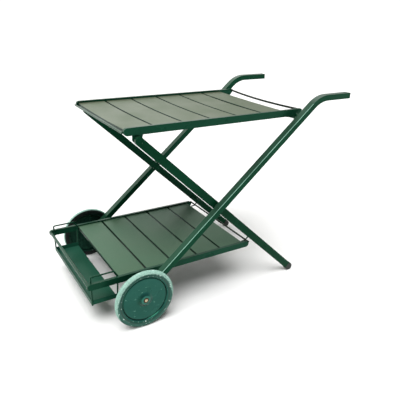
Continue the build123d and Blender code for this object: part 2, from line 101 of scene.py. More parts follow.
def ramp(tree, value, start, end, low=0.0, high=1.0, **settings):
    """Maps a value from one range to another and holds it past both ends."""
    sockets = {"Value": value, "From Min": start, "From Max": end, "To Min": low, "To Max": high}
    return add(tree, "ShaderNodeMapRange", sockets, **settings).outputs["Result"]


def blend(tree, share, one, other):
    """Mixes two colours, each a hex value or the result of another node."""
    one, other = (colour(c) if isinstance(c, str) else c for c in (one, other))
    sockets = {"Factor_Float": share, "A_Color": one, "B_Color": other}
    return add(tree, "ShaderNodeMix", sockets, data_type="RGBA").outputs[2]


def noise(tree, place, scale, detail, rough=0.5):
    """Cloudy noise in space, its scale in waves to the metre."""
    sockets = {"Vector": place, "Scale": scale, "Detail": detail, "Roughness": rough}
    return add(tree, "ShaderNodeTexNoise", sockets).outputs["Fac"]


def start_finish(name):
    """Starts a material and gives it with its nodes, its shader and its coordinates."""
    finish = bpy.data.materials.new(name)
    finish.use_nodes = True
    tree = finish.node_tree
    return finish, tree, tree.nodes["Principled BSDF"], add(tree, "ShaderNodeTexCoord").outputs


room = bpy.data.worlds.new("room")
room.use_nodes = True
bpy.context.scene.world = room
air = room.node_tree
to_wall = (-0.17, 0.98, 0.0)
facing = add(air, "ShaderNodeTexCoord").outputs["Generated"]
both = {"Vector": facing, "Vector_001": to_wall}
towards = add(air, "ShaderNodeVectorMath", both, operation="DOT_PRODUCT").outputs["Value"]
back_wall = ramp(air, towards, 0.38, 0.95, 0.1, 2.1, interpolation_type="SMOOTHSTEP")
# looked at directly the room is plain white, like the paper; only what it sheds on the cart is uneven
looked_at = add(air, "ShaderNodeLightPath").outputs["Is Camera Ray"]
plain_white = 1.1
strength = add(
    air,
    "ShaderNodeMix",
    {"Factor_Float": looked_at, "A_Float": back_wall, "B_Float": plain_white},
    data_type="FLOAT",
)
glow = air.nodes["Background"]
glow.inputs["Color"].default_value = colour("#FFFEFA")
air.links.new(strength.outputs["Result"], glow.inputs["Strength"])

lamp = bpy.data.lights.new("soft lamp", "SUN")
lamp.angle = radians(44)
lamp.energy = 3.8
to_lamp = Vector((-0.28, -0.28, 0.92))
put("soft lamp", lamp).rotation_euler = to_lamp.to_track_quat("Z", "Y").to_euler()
bpy.context.scene.view_settings.view_transform = "Standard"

paper, sheet, matt, place = start_finish("matt white paper")
white = blend(sheet, noise(sheet, place["Object"], 3.0, 2.0), "#F4F4F3", "#F8F8F8")
sheet.links.new(white, matt.inputs["Base Color"])
matt.inputs["Roughness"].default_value = 0.9
matt.inputs["Specular IOR Level"].default_value = 0.1
floor_mesh = bpy.data.meshes.new("paper_floor")
floor_mesh.from_pydata([(-9, -9, 0), (9, -9, 0), (9, 9, 0), (-9, 9, 0)], [], [(0, 1, 2, 3)])
floor_mesh.materials.append(paper)
floor = put("paper_floor", floor_mesh)


# Arms. Two lengths of 25 by 19.5 mm steel tube, one on each side, run from the axle up to level handles.
# Each is bent once, cold, round a 95 mm former, and drilled for axle, hinge rod and rivet. They are
# enamelled deep green, gloss but marked, with dust and a painted sheen greying what faces up, more of it
# higher up, and a painted highlight along the outer corner of the near arm.
def reckon(tree, operation, *values):
    """One step of arithmetic on numbers or results of other nodes."""
    sockets = dict(zip(("Value", "Value_001", "Value_002"), values))
    return add(tree, "ShaderNodeMath", sockets, operation=operation).outputs["Value"]


def dress(tree, shader, tone, rough, height, strength, depth):
    """Gives a shader its colour, its roughness and a relief."""
    relief = add(tree, "ShaderNodeBump", {"Height": height, "Strength": strength, "Distance": depth})
    tree.links.new(tone, shader.inputs["Base Color"])
    tree.links.new(rough, shader.inputs["Roughness"])
    tree.links.new(relief.outputs["Normal"], shader.inputs["Normal"])


def enamel(name, coat, faded, dust_and_sheen, gloss=0.22, haze=0.5, chip=0.72, mirror=0.2, gap_shade=None, rest=0.35):
    """Brushed gloss enamel on steel. The coat varies softly, dust and a painted sheen grey its upward faces,
    edges show chips.

    Gloss is its roughness where clean, haze the most dust and painted sheen it carries, rest how far a face
    must look up to carry any, chip the noise an edge must reach to chip, and the last colour, if given, is a
    painted shade on folded edges and on faces that look down.
    """
    finish, tree, shader, place = start_finish(name)
    # patches of fading some 120 mm across, with finer mottling in them
    patches = noise(tree, place["Object"], 8.0, 6.0, 0.55)
    spread = ramp(tree, patches, 0.35, 0.65)
    top = blend(tree, spread, coat, faded)
    # dust and a painted sheen lie on faces that look up, in grains drawn 3 mm coarse so that they show
    upward = add(tree, "ShaderNodeSeparateXYZ", {"Vector": place["Normal"]}).outputs
    lie = ramp(tree, upward["Z"], rest, 0.95, high=haze)
    grain = ramp(tree, noise(tree, place["Object"], 330.0, 3.0, 0.7), 0.3, 0.7, 0.7)
    # the higher up, the more of it: a painted sheen that greys the tops of bends and handles most
    height = add(tree, "ShaderNodeSeparateXYZ", {"Vector": place["Object"]}).outputs["Z"]
    sheen_higher_up = ramp(tree, height, 0.1, 0.66, 0.35)
    dust_and_sheen_share = reckon(tree, "MULTIPLY", reckon(tree, "MULTIPLY", lie, grain), sheen_higher_up)
    top = blend(tree, dust_and_sheen_share, top, dust_and_sheen)
    if gap_shade:
        # painted shade: faces that look down and the folded edges, in the gaps between slats, take a darker
        # colour
        sideways = reckon(tree, "ABSOLUTE", upward["X"])
        shaded_faces = reckon(tree, "MAXIMUM", sideways, reckon(tree, "MULTIPLY", upward["Z"], -1.0))
        top = blend(tree, ramp(tree, shaded_faces, 0.12, 0.4), top, gap_shade)
    # a painted highlight: a pale green line painted along the corners marked for it, stronger where the coat
    # has faded
    lightened = add(tree, "ShaderNodeAttribute", attribute_name="wear_and_highlight").outputs["Fac"]
    highlight_strength = reckon(tree, "MULTIPLY_ADD", lightened, spread, lightened)
    top = blend(tree, ramp(tree, highlight_strength, 0.0, 2.0), top, "#A3D2BF")
    # chips 1 to 4 mm long along the edges, down to a chalky grey-green undercoat
    rim = add(tree, "ShaderNodeAttribute", attribute_name="edge").outputs["Fac"]
    reach = reckon(tree, "MULTIPLY_ADD", rim, 0.13, noise(tree, place["Object"], 170.0, 4.0, 0.65))
    chipped = ramp(tree, reach, chip, chip + 0.03)
    top = blend(tree, chipped, top, "#8FA898")
    rub = ramp(tree, patches, 0.3, 0.7, gloss, gloss + 0.12)
    dull = reckon(tree, "MULTIPLY_ADD", dust_and_sheen_share, 0.25, rub)
    # orange peel of a brushed coat, 5 mm from ripple to ripple
    sunk = reckon(tree, "MULTIPLY_ADD", chipped, -0.6, noise(tree, place["Object"], 200.0, 2.0))
    dress(tree, shader, top, dull, sunk, 0.25, 0.0002)
    shader.inputs["IOR"].default_value = 1.5
    shader.inputs["Specular IOR Level"].default_value = mirror
    shader.inputs["Specular Tint"].default_value = (0.2, 1.0, 0.6, 1.0)
    return finish


def pattern(name, **sizes):
    """Starts a tree of Geometry Nodes whose inputs are a piece's sizes and its finish."""
    tree = bpy.data.node_groups.new(name, "GeometryNodeTree")
    tree.interface.new_socket("Shape", in_out="OUTPUT", socket_type="NodeSocketGeometry")
    tree.interface.new_socket("Shape", in_out="INPUT", socket_type="NodeSocketGeometry")
    for label, size in sizes.items():
        kind = "NodeSocketInt" if isinstance(size, int) else "NodeSocketFloat"
        tree.interface.new_socket(label, in_out="INPUT", socket_type=kind).default_value = size
    tree.interface.new_socket("Finish", in_out="INPUT", socket_type="NodeSocketMaterial")
    return tree, add(tree, "NodeGroupInput").outputs


def line_of(tree, given):
    """The line that a tree is run on."""
    return add(tree, "GeometryNodeMeshToCurve", {"Mesh": given["Shape"]}).outputs["Curve"]


def round_off(tree, line, radius, steps):
    """Rounds the corners of a line."""
    sockets = {"Curve": line, "Count": steps, "Radius": radius, "Limit Radius": True}
    return add(tree, "GeometryNodeFilletCurve", sockets, mode="POLY").outputs["Curve"]


def sweep(tree, line, section):
    """Draws a section along a line and closes both ends."""
    sockets = {"Curve": line, "Profile Curve": section, "Fill Caps": True}
    return add(tree, "GeometryNodeCurveToMesh", sockets).outputs["Mesh"]


def close(tree, given, shape):
    """Ends a tree: what it repeats is made real, shaded smooth and given its finish."""
    real = add(tree, "GeometryNodeRealizeInstances", {"Geometry": shape}).outputs["Geometry"]
    smooth = add(tree, "GeometryNodeSetShadeSmooth", {"Geometry": real}).outputs["Geometry"]
    finished = add(tree, "GeometryNodeSetMaterial", {"Geometry": smooth, "Material": given["Finish"]})
    add(tree, "NodeGroupOutput", {"Shape": finished.outputs["Geometry"]})


def tidy(mesh, narrow=0.0012, sharp=0.9):
    """Closes a shell: doubles merged, faces outward, narrow strips noted as "edge", sharp edges marked."""
    work = bmesh.new()
    work.from_mesh(mesh)
    bmesh.ops.remove_doubles(work, verts=work.verts, dist=0.00002)
    bmesh.ops.recalc_face_normals(work, faces=work.faces)
    edge = work.faces.layers.float.new("edge")
    for f in work.faces:
        f[edge] = float(f.calc_area() < narrow * max(e.calc_length() for e in f.edges))
    for e in work.edges:
        e.smooth = len(e.link_faces) != 2 or e.calc_face_angle() < sharp
    work.to_mesh(mesh)
    work.free()
    mesh.polygons.foreach_set("use_smooth", [True] * len(mesh.polygons))


def shape(name, tree, points, close_loop=False, **values):
    """Runs a tree on a line of points and keeps what it makes as a plain mesh."""
    edges = [(i, i + 1) for i in range(len(points) - 1)] + ([(len(points) - 1, 0)] if close_loop else [])
    mesh = bpy.data.meshes.new(name)
    mesh.from_pydata(points, edges, [])
    piece = put(name, mesh)
    maker = piece.modifiers.new("maker", "NODES")
    maker.node_group = tree
    for socket in tree.interface.items_tree:
        if socket.in_out == "INPUT" and socket.name in values:
            maker[socket.identifier] = values[socket.name]
    seen = piece.evaluated_get(bpy.context.evaluated_depsgraph_get())
    made = bpy.data.meshes.new_from_object(seen)
    piece.modifiers.remove(maker)
    piece.data = made
    made.name = name
    tidy(made)
    return piece


def flats(piece):
    """Keeps broad faces flat to the eye beside their rounded edges."""
    even = piece.modifiers.new("flats", "WEIGHTED_NORMAL")
    even.weight = 80
    even.keep_sharp = True
    return piece


green_enamel = enamel("green enamel on tube", "#05301D", "#073A25", "#7C8680", haze=0.55, chip=0.8, rest=0.7)

bent_tube, given = pattern("bent tube", Across=0.025, Deep=0.0195, Corner=0.0013, Bend=0.095)
bend = round_off(bent_tube, line_of(bent_tube, given), given["Bend"], 24)
level = add(bent_tube, "GeometryNodeSetCurveNormal", {"Curve": bend}, mode="Z_UP")
wide_deep = {"Width": given["Across"], "Height": given["Deep"]}
section = add(bent_tube, "GeometryNodeCurvePrimitiveQuadrilateral", wide_deep)
rounded = round_off(bent_tube, section.outputs["Curve"], given["Corner"], 5)
close(bent_tube, given, sweep(bent_tube, level.outputs["Curve"], rounded))

sides = {"near": -1, "far": 1}
axle_at = Vector((-0.322, 0, 0.1))
arm_slope = 40.5
arm_middle = 0.238
handle_x, handle_z = 0.4845, 0.6724
arm_run = Vector((cos(radians(arm_slope)), 0, sin(radians(arm_slope))))
arm_at = axle_at + Vector((-arm_run.z, 0, arm_run.x)) * 0.0012
elbow = arm_at + arm_run * ((handle_z - arm_at.z) / arm_run.z)
arm_tail = arm_at - arm_run * 0.014
handle_end = Vector((handle_x, 0, handle_z))
for tag, side in sides.items():
    run = [p + Vector((0, side * arm_middle, 0)) for p in (arm_tail, elbow, handle_end)]
    arm = shape(f"arm_tube_{tag}", bent_tube, run, Finish=green_enamel)
    # a painted highlight line along the outer corner of the near arm, fading out towards the handle
    wear_and_highlight = arm.data.attributes.new("wear_and_highlight", "FLOAT", "FACE")
    outer_corner = [side < 0 and f.normal.y < -0.1 and f.normal.x < -0.2 for f in arm.data.polygons]
    fading = [min(1.0, (handle_z - f.center.z) / 0.1) for f in arm.data.polygons]
    wear_and_highlight.data.foreach_set("value", [c * w for c, w in zip(outer_corner, fading)])
    flats(arm)
    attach(arm, "arms")
    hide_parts(f"arm_{tag}")


# Plugs. Moulded caps pressed into both ends of each arm close the tube; the handle ones are the square
# ends that a hand meets. They are dark green plastic, matt, with softened edges and a fine spark texture.
def moulded(name, tint, wear_and_highlight, rough, grit):
    """Moulded plastic or rubber: an even colour, scuffed paler in patches, with a fine matt texture."""
    finish, tree, shader, place = start_finish(name)
    scuffs = noise(tree, place["Object"], 60.0, 5.0, 0.6)
    tone = blend(tree, ramp(tree, scuffs, 0.4, 0.75), tint, wear_and_highlight)
    rub = ramp(tree, scuffs, 0.0, 1.0, rough - 0.1, rough + 0.1)
    dress(tree, shader, tone, rub, noise(tree, place["Object"], grit, 1.0), 0.35, 0.0002)
    shader.inputs["IOR"].default_value = 1.5
    return finish


def new_piece(name, work, finish):
    """Turns a finished bmesh into a piece of the cart."""
    mesh = bpy.data.meshes.new(name)
    work.to_mesh(mesh)
    work.free()
    tidy(mesh)
    mesh.materials.append(finish)
    return put(name, mesh)


def pour(own, work):
    """Adds one bmesh to another."""
    mesh = bpy.data.meshes.new("part")
    own.to_mesh(mesh)
    own.free()
    work.from_mesh(mesh)
    bpy.data.meshes.remove(mesh)


def slab(work, outline, one_face, other_face, soften, place=None, open_below=False):
    """Adds a slab cut to an outline in the side view, between two faces, with its edges softened."""
    low, high = sorted((one_face, other_face))
    own = bmesh.new()
    first = [own.verts.new((x, low, z)) for x, z in outline]
    last = [own.verts.new((x, high, z)) for x, z in outline]
    own.faces.new(first)
    own.faces.new(last[::-1])
    for i in range(len(outline)):
        own.faces.new((first[i], last[i], last[i - 1], first[i - 1]))
    bmesh.ops.recalc_face_normals(own, faces=own.faces)
    if open_below:
        under = [f for f in own.faces if f.normal.z < -0.99]
        bmesh.ops.delete(own, geom=under, context="FACES_ONLY")
    sharp = [e for e in own.edges if len(e.link_faces) == 2 and e.calc_face_angle() > 0.5]
    how = {"segments": 3, "profile": 0.5, "affect": "EDGES", "clamp_overlap": True}
    bmesh.ops.bevel(own, geom=sharp, offset=soften, **how)
    if place:
        bmesh.ops.transform(own, matrix=place, verts=own.verts)
    pour(own, work)


plug_plastic = moulded("dark green moulded plastic", "#0C3222", "#2F5543", 0.5, 900.0)
plug_face = [(-0.0096, -0.0124), (0.0096, -0.0124), (0.0096, 0.0124), (-0.0096, 0.0124)]
plug_thick, plug_edge = 0.002, 0.0007
plug_at = arm_tail - arm_run * plug_thick
lying = Matrix(((0, 1, 0, 0), (0, 0, 1, 0), (1, 0, 0, 0), (0, 0, 0, 1)))
handle_ends = bmesh.new()
tail_ends = bmesh.new()
for side in sides.values():
    upright = Matrix(((0, -1, 0, handle_x), (0, 0, 1, side * arm_middle), (1, 0, 0, handle_z), (0, 0, 0, 1)))
    slab(handle_ends, plug_face, -plug_thick, 0.0, plug_edge, upright)
    lean = Matrix.Translation((plug_at.x, side * arm_middle, plug_at.z)) @ turned(-arm_slope, "Y")
    slab(tail_ends, plug_face, 0.0, plug_thick, plug_edge, lean @ lying)
handle_plugs = flats(new_piece("handle_end_plugs", handle_ends, plug_plastic))
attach(handle_plugs, "arms")
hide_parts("handle_plugs")
tail_plugs = flats(new_piece("arm_tail_plugs", tail_ends, plug_plastic))
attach(tail_plugs, "arms")
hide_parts("arm_foot_plugs")


# Legs. One straight 26 by 14 mm flat tube on each side, closed and rounded at the top, runs down inside
# the arm to a rubber foot. It has the same brushed enamel as the arms, a shade darker and more knocked.
def bow(cx, cz, radius, start, end, steps):
    """Points of an arc in the side view, angles in degrees."""
    angles = [radians(start + (end - start) * i / steps) for i in range(steps + 1)]
    return [(cx + radius * cos(a), cz + radius * sin(a)) for a in angles]


def joint_at(name):
    """Where the CAD model has a joint."""
    return Vector(next(j["pos_m"] for j in frame["joints"] if j["name"] == name))


scissor_at = joint_at("scissor")
leg_slope = 42.9
leg_up, leg_down, leg_half = 0.3673, 0.486, 0.0131
leg_in, leg_out = 0.2105, 0.2245
along_leg = Matrix.Translation(scissor_at) @ turned(leg_slope, "Y")
leg_outline = bow(-leg_up - 0.006, 0, leg_half, 90, 270, 18)
leg_outline += [(leg_down - 0.002, -leg_half), (leg_down - 0.002, leg_half)]
leg_enamel = enamel(
    "green enamel on flat tube", "#042C19", "#073622", "#51685C", haze=0.1, chip=0.75, mirror=0.12
)
for tag, side in sides.items():
    work = bmesh.new()
    slab(work, leg_outline, side * leg_in, side * leg_out, 0.0014, along_leg)
    leg = flats(new_piece(f"leg_tube_{tag}", work, leg_enamel))
    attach(leg, "legs")
    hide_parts(f"leg_{tag}")

# Feet. Moulded rubber boots are pushed over the ends of the legs. Each is rounded like a thimble and stands
# on that round end. Black rubber, a little grey where it has scuffed on floors.
foot_rubber = moulded("black moulded rubber", "#121816", "#2B3530", 0.6, 700.0)
boot_round = 0.0143
boot_at = (scissor_at.z - boot_round) / sin(radians(leg_slope))
boot_top = leg_down - 0.017
boot_in, boot_out = 0.2092, 0.2252
boot = bow(boot_at, 0, boot_round, -90, 90, 16) + [(boot_top, boot_round), (boot_top, -boot_round)]
work = bmesh.new()
for side in sides.values():
    slab(work, boot, side * boot_in, side * boot_out, 0.002, along_leg)
boots = flats(new_piece("rubber_feet", work, foot_rubber))
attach(boots, "legs")
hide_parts("foot_caps")


# Rivets and spacers at the crossing. A steel rivet on each side holds arm and leg together over a nylon
# spacer; its heads are hammered almost flat and enamelled over. Rivets are turned parts, spacers cut tube.
def turn(work, section, at, side=1, steps=48, whole=True):
    """Adds a turned part: a section of (radius, across) points swept round a line across the cart."""
    own = bmesh.new()
    rings = []
    for i in range(steps):
        a = 2 * pi * i / steps
        rings.append([own.verts.new((at.x + r * cos(a), side * y, at.z + r * sin(a))) for r, y in section])
    for i in range(steps):
        one, two = rings[i - 1], rings[i]
        for k in range(len(section) if whole else len(section) - 1):
            m = (k + 1) % len(section)
            own.faces.new((one[k], one[m], two[m], two[k]))
    bmesh.ops.remove_doubles(own, verts=own.verts, dist=0.000001)
    bmesh.ops.dissolve_degenerate(own, dist=0.0000001, edges=own.edges)
    pour(own, work)


rivet = [(0, 0.2101), (0.004, 0.21015), (0.0068, 0.2104), (0.0072, 0.2108), (0.005, 0.2130)]
rivet += [(0.005, 0.2499), (0.0056, 0.2501), (0.0048, 0.2503), (0.003, 0.25045), (0, 0.2505)]
work = bmesh.new()
for side in sides.values():
    turn(work, rivet, scissor_at, side, 32, whole=False)
rivets = flats(new_piece("crossing_rivets", work, green_enamel))
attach(rivets, "arms")
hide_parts("pivot_rivets")

dark_nylon = moulded("dark turned nylon", "#1C2420", "#38443D", 0.45, 1200.0)
spacer = [(0.005, 0.2247), (0.0114, 0.2247), (0.012, 0.225), (0.012, 0.2257), (0.0114, 0.226), (0.005, 0.226)]
work = bmesh.new()
for side in sides.values():
    turn(work, spacer, scissor_at, side)
spacers = flats(new_piece("crossing_spacers", work, dark_nylon))
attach(spacers, "arms")
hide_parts("pivot_spacers")


# Hinge rod and pins. An 8 mm drawn steel rod ties the arms above the axle, its ends peened over, bright with
# brown bloom. Short pins of the same size, enamelled over, hold the upper tray to the leg tops.
def steel(name, tint, bloom, rough):
    """Bare metal with fine marks and patches of brown bloom, duller where it has browned."""
    finish, tree, shader, place = start_finish(name)
    stains = noise(tree, place["Object"], 90.0, 6.0, 0.65)
    tone = blend(tree, ramp(tree, stains, 0.5, 0.66), tint, bloom)
    matt = ramp(tree, stains, 0.4, 0.7, rough, 0.75)
    dress(tree, shader, tone, matt, noise(tree, place["Object"], 1500.0, 2.0), 0.3, 0.0001)
    shader.inputs["Metallic"].default_value = 1.0
    return finish


def both_ends(half):
    """The section of a bar from the section of its far half."""
    return half + [(r, -y) for r, y in half[::-1]]


bare_steel = steel("drawn steel with brown bloom", "#B9B6AE", "#6B5342", 0.3)
low_pin = joint_at("lower_tray_hinge")
leg_head = joint_at("upper_tray_hinge")
work = bmesh.new()
rod_end = [(0, 0.2506), (0.0025, 0.2505), (0.0046, 0.2502), (0.0048, 0.2498), (0.004, 0.2492)]
turn(work, both_ends(rod_end), low_pin, steps=32, whole=False)
lower_rod = flats(new_piece("lower_rod", work, bare_steel))
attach(lower_rod, "arms")
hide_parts("lower_hinge_rod")
pin = [(0, 0.2042), (0.0036, 0.2043), (0.004, 0.2048), (0.004, 0.2246)]
pin += [(0.0052, 0.2247), (0.005, 0.2251), (0.003, 0.2253), (0, 0.2254)]
work = bmesh.new()
for side in sides.values():
    turn(work, pin, leg_head, side, 32, whole=False)
upper_pins = flats(new_piece("upper_hinge_pins", work, leg_enamel))
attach(upper_pins, "legs")
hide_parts("upper_hinge_rod")
for node in ("lower_hinge_sleeves", "upper_hinge_washers", "hub_bush_near", "hub_bush_far"):
    for held in frame["nodes"][node].material_slots:
        held.material = dark_nylon

# Studs. A short steel stud inside each arm carries the rear end of the upper tray, and a collar on it keeps
# the rail off the arm. Turned steel, enamelled over with the arm.
stud_at = Vector((0.28, 0, 0.61417))
stud = [(0, 0.2004), (0.0042, 0.2004), (0.005, 0.2010), (0.005, 0.2099), (0.0068, 0.2099), (0.0074, 0.2104)]
stud += [(0.0074, 0.2119), (0.0068, 0.2124), (0.005, 0.2124), (0.005, 0.2262), (0, 0.2262)]
work = bmesh.new()
for side in sides.values():
    turn(work, stud, stud_at, side, 32, whole=False)
studs = flats(new_piece("upper_tray_studs", work, green_enamel))
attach(studs, "arms")
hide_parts("tray_studs")


# Upper tray rails. Folded steel channels, open below, 10 mm wide and 23 mm deep, run along both sides; the
# front end is rounded, the rear end cut to the slope of the arms and notched over the stud it rests on.
def sheet_metal(piece, thick):
    """Gives a thin shell the thickness of its sheet, inwards."""
    wall = piece.modifiers.new("wall", "SOLIDIFY")
    wall.thickness = thick
    wall.offset = -1.0
    return flats(piece)


def channel(name, outline, low, high):
    """A side rail: a channel folded from 1.5 mm sheet, between the corners of its box."""
    work = bmesh.new()
    slab(work, outline, low[1], high[1], 0.0018, open_below=True)
    return sheet_metal(new_piece(name, work, rail_enamel), 0.0015)


rail_enamel = enamel("green enamel on rails", "#0B3323", "#123B2A", "#5E7268", haze=0.2, chip=0.76)
corner_x, corner_round, notch_x, notch_round = 0.2975, 0.005, 0.29, 0.0054
for tag in sides:
    low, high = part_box(f"upper_rail_{tag}")
    mid = (low[2] + high[2]) / 2
    half = (high[2] - low[2]) / 2
    rail_outline = bow(low[0] + half, mid, half, 270, 90, 18)
    rail_outline += bow(corner_x, high[2] - corner_round, corner_round, 90, -35, 8) + [(notch_x, low[2])]
    rail_outline += bow(stud_at.x, stud_at.z, notch_round, -23, 203, 14)
    rail = channel(f"upper_side_rail_{tag}", rail_outline, low, high)
    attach(rail, "upper_tray")
    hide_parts(f"upper_rail_{tag}")


# Slats. Each is 1.2 mm sheet steel with its long edges folded down 10 mm, welded between the rails with
# 5.5 mm gaps. The upper ones have dished a few millimetres under years of bottles. Old, dusty enamel, with
# painted shade on the folds and undersides.
def spot(tree, **axes):
    """A vector with some of its axes given."""
    return add(tree, "ShaderNodeCombineXYZ", axes).outputs["Vector"]


folded_sheet, given = pattern(
    "folded slats", Count=5, Pitch=0.1, Front=0.0, Top=0.628, Reach=0.1995, Fold=0.0016, Dish=0.0
)
folds = round_off(folded_sheet, line_of(folded_sheet, given), given["Fold"], 4)
back_reach = reckon(folded_sheet, "MULTIPLY", given["Reach"], -1.0)
ends = {"Start": spot(folded_sheet, Z=back_reach), "End": spot(folded_sheet, Z=given["Reach"])}
across = add(folded_sheet, "GeometryNodeCurvePrimitiveLine", ends)
steps = add(folded_sheet, "GeometryNodeResampleCurve", {"Curve": across.outputs["Curve"], "Count": 33})
pressed = sweep(folded_sheet, steps.outputs["Curve"], folds)
upright = add(folded_sheet, "GeometryNodeTransform", {"Geometry": pressed, "Rotation": (pi / 2, 0, 0)})
row = {
    "Count": given["Count"],
    "Start Location": spot(folded_sheet, X=given["Front"], Z=given["Top"]),
    "Offset": spot(folded_sheet, X=given["Pitch"]),
}
each_slat = {
    "Points": add(folded_sheet, "GeometryNodeMeshLine", row).outputs["Mesh"],
    "Instance": upright.outputs["Geometry"],
}
laid = add(folded_sheet, "GeometryNodeInstanceOnPoints", each_slat)
made_real = add(folded_sheet, "GeometryNodeRealizeInstances", {"Geometry": laid.outputs["Instances"]})
position = add(folded_sheet, "GeometryNodeInputPosition").outputs["Position"]
where = add(folded_sheet, "ShaderNodeSeparateXYZ", {"Vector": position})
share = reckon(folded_sheet, "DIVIDE", where.outputs["Y"], given["Reach"])
short = reckon(folded_sheet, "SUBTRACT", reckon(folded_sheet, "MULTIPLY", share, share), 1.0)
sag = spot(folded_sheet, Z=reckon(folded_sheet, "MULTIPLY", short, given["Dish"]))
pushed = {"Geometry": made_real.outputs["Geometry"], "Offset": sag}
dished = add(folded_sheet, "GeometryNodeSetPosition", pushed)
close(folded_sheet, given, dished.outputs["Geometry"])


def fold_line(width, deep=0.01, sheet=0.0012):
    """The folded section of a slat, outside and inside, starting at its front edge."""
    outer = [(0, -deep), (0, 0), (width, 0), (width, -deep)]
    inner = [(width - sheet, -deep), (width - sheet, -sheet), (sheet, -sheet), (sheet, -deep)]
    return [(x, y, 0) for x, y in outer + inner]


def slats(name, finish, *groups):
    """Joins groups of equal slats, each of a width and its values, into a single piece."""
    work = bmesh.new()
    for width, values in groups:
        group = shape("run", folded_sheet, fold_line(width), True, Finish=finish, **values)
        work.from_mesh(group.data)
        bpy.data.objects.remove(group)
    return flats(new_piece(name, work, finish))


old_coat = {"gloss": 0.3, "chip": 0.8, "mirror": 0.4}
tray_enamel = enamel(
    "old dusty enamel on slats", "#123C26", "#17442C", "#8A8270", haze=0.48, gap_shade="#0B1811", **old_coat
)
upper_slats = slats(
    "upper_slats",
    tray_enamel,
    (0.09475, {"Count": 5, "Pitch": 0.10025, "Front": -0.3465, "Dish": 0.0035}),
    (0.08475, {"Count": 1, "Front": 0.15475, "Dish": 0.002}),
)
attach(upper_slats, "upper_tray")
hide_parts(*[f"upper_slat_{i}" for i in range(1, 7)])

# Rod and wire of the upper tray. A 6 mm rod is welded under the front edge, and a 7 mm wire bows across
# the open rear, let into the tops of the rails. Drawn steel, enamelled with the rest; the wire has browned.
bent_wire, given = pattern("bent wire", Thick=0.004, Bend=0.004)
bend = round_off(bent_wire, line_of(bent_wire, given), given["Bend"], 8)
half_thick = reckon(bent_wire, "MULTIPLY", given["Thick"], 0.5)
ring = add(bent_wire, "GeometryNodeCurvePrimitiveCircle", {"Resolution": 14, "Radius": half_thick})
close(bent_wire, given, sweep(bent_wire, bend, ring.outputs["Curve"]))

wire_enamel = enamel("green enamel on wire", "#0A2E1F", "#123B2A", "#5E7268", haze=0.15, chip=0.95, mirror=0.3)
brown_wire = enamel(
    "dark enamel gone brown on wire", "#171A15", "#24261F", "#4A4A42", haze=0.1, chip=0.95, mirror=0.1
)
rod_enamel = enamel("dusty enamel on rod", "#1C3628", "#264233", "#78827A", haze=0.35, chip=0.9)
rod_run = [(-0.3556, -0.2040, 0.6215), (-0.3556, 0.2040, 0.6215)]
front_rod = shape("upper_front_edge_rod", bent_wire, rod_run, Thick=0.0062, Finish=rod_enamel)
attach(front_rod, "upper_tray")
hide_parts("upper_front_rod")
wire_x, wire_y, wire_z = 0.2955, 0.2015, 0.6309
bowed = []
for i in range(25):
    out = i / 12 - 1
    slack = 1 - out**2
    bowed.append((wire_x - 0.0145 * slack, wire_y * out, wire_z - 0.0016 * slack))
rear_wire = shape("upper_rear_bowed_wire", bent_wire, bowed, Thick=0.0072, Bend=0.001, Finish=brown_wire)
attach(rear_wire, "upper_tray")
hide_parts("upper_rear_wire")

# Lugs and hook plates of the upper tray. Plates cut from 3 mm steel are welded inside the rails: lugs at
# the front turn on the pins in the leg tops, hook plates at the rear drop round the studs in the arms.
plate_in, plate_out = 0.205, 0.208
lug_front, lug_back, lug_top = leg_head.x - 0.02, leg_head.x + 0.013, 0.632
lug_outline = [(lug_front, lug_top), (lug_front, 0.5965), (leg_head.x - 0.0135, 0.589)]
lug_outline += bow(leg_head.x, leg_head.z, 0.0085, 230, 340, 10) + [(lug_back, 0.61), (lug_back, lug_top)]
work = bmesh.new()
for side in sides.values():
    slab(work, lug_outline, side * plate_in, side * plate_out, 0.0005)
upper_lugs = flats(new_piece("upper_tray_lugs", work, rail_enamel))
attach(upper_lugs, "upper_tray")
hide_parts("upper_lugs")

hook_outline = [(-0.051, 0.0058), (-0.051, -0.0022), (-0.032, -0.005), (-0.018, -0.0086), (-0.0085, -0.0122)]
hook_outline += [(-0.0042, -0.0142), (-0.0018, -0.0132), (-0.0012, -0.0084), (-0.0029, -0.0053)]
hook_outline += [(-0.0055, -0.0029), (-0.0112, -0.0022), (-0.0156, -0.0022), (-0.0156, 0.0058)]
hook_outline = [(stud_at.x + x, stud_at.z + z) for x, z in hook_outline]
work = bmesh.new()
for side in sides.values():
    slab(work, hook_outline, side * plate_in, side * plate_out, 0.0004)
hook_plates = flats(new_piece("upper_tray_hook_plates", work, rail_enamel))
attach(hook_plates, "upper_tray")
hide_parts("upper_hook_plates")

# Lower tray rails. The same folded channel, 21 mm deep, rounded at both ends and longer at the front,
# where it carries the bottle shelf. Its green enamel is chipped along the edges.
for tag in sides:
    low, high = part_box(f"lower_rail_{tag}")
    mid = (low[2] + high[2]) / 2
    half = (high[2] - low[2]) / 2
    rail_outline = bow(low[0] + half, mid, half, 270, 90, 18) + bow(high[0] - half, mid, half, 90, -90, 18)
    rail = channel(f"lower_side_rail_{tag}", rail_outline, low, high)
    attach(rail, "lower_tray")
    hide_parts(f"lower_rail_{tag}")

# Lower slats. Five more folded slats of the same sheet, lying 5 mm under the tops of the rails; the two
# outer ones are wider by half a gap. The enamel kept its colour better here, under the upper tray; it too has
# painted shade on the folds and undersides.
lower_enamel = enamel(
    "enamel on lower slats", "#154A30", "#1D523A", "#807F6F", haze=0.6, gap_shade="#0A1C13", **old_coat
)
lower_top = 0.165
lower_slats = slats(
    "lower_slats",
    lower_enamel,
    (0.09245, {"Count": 1, "Front": -0.381, "Top": lower_top}),
    (0.0897, {"Count": 3, "Pitch": 0.0952, "Front": -0.28305, "Top": lower_top}),
    (0.09245, {"Count": 1, "Front": 0.00255, "Top": lower_top}),
)
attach(lower_slats, "lower_tray")
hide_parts(*[f"lower_slat_{i}" for i in range(1, 6)])

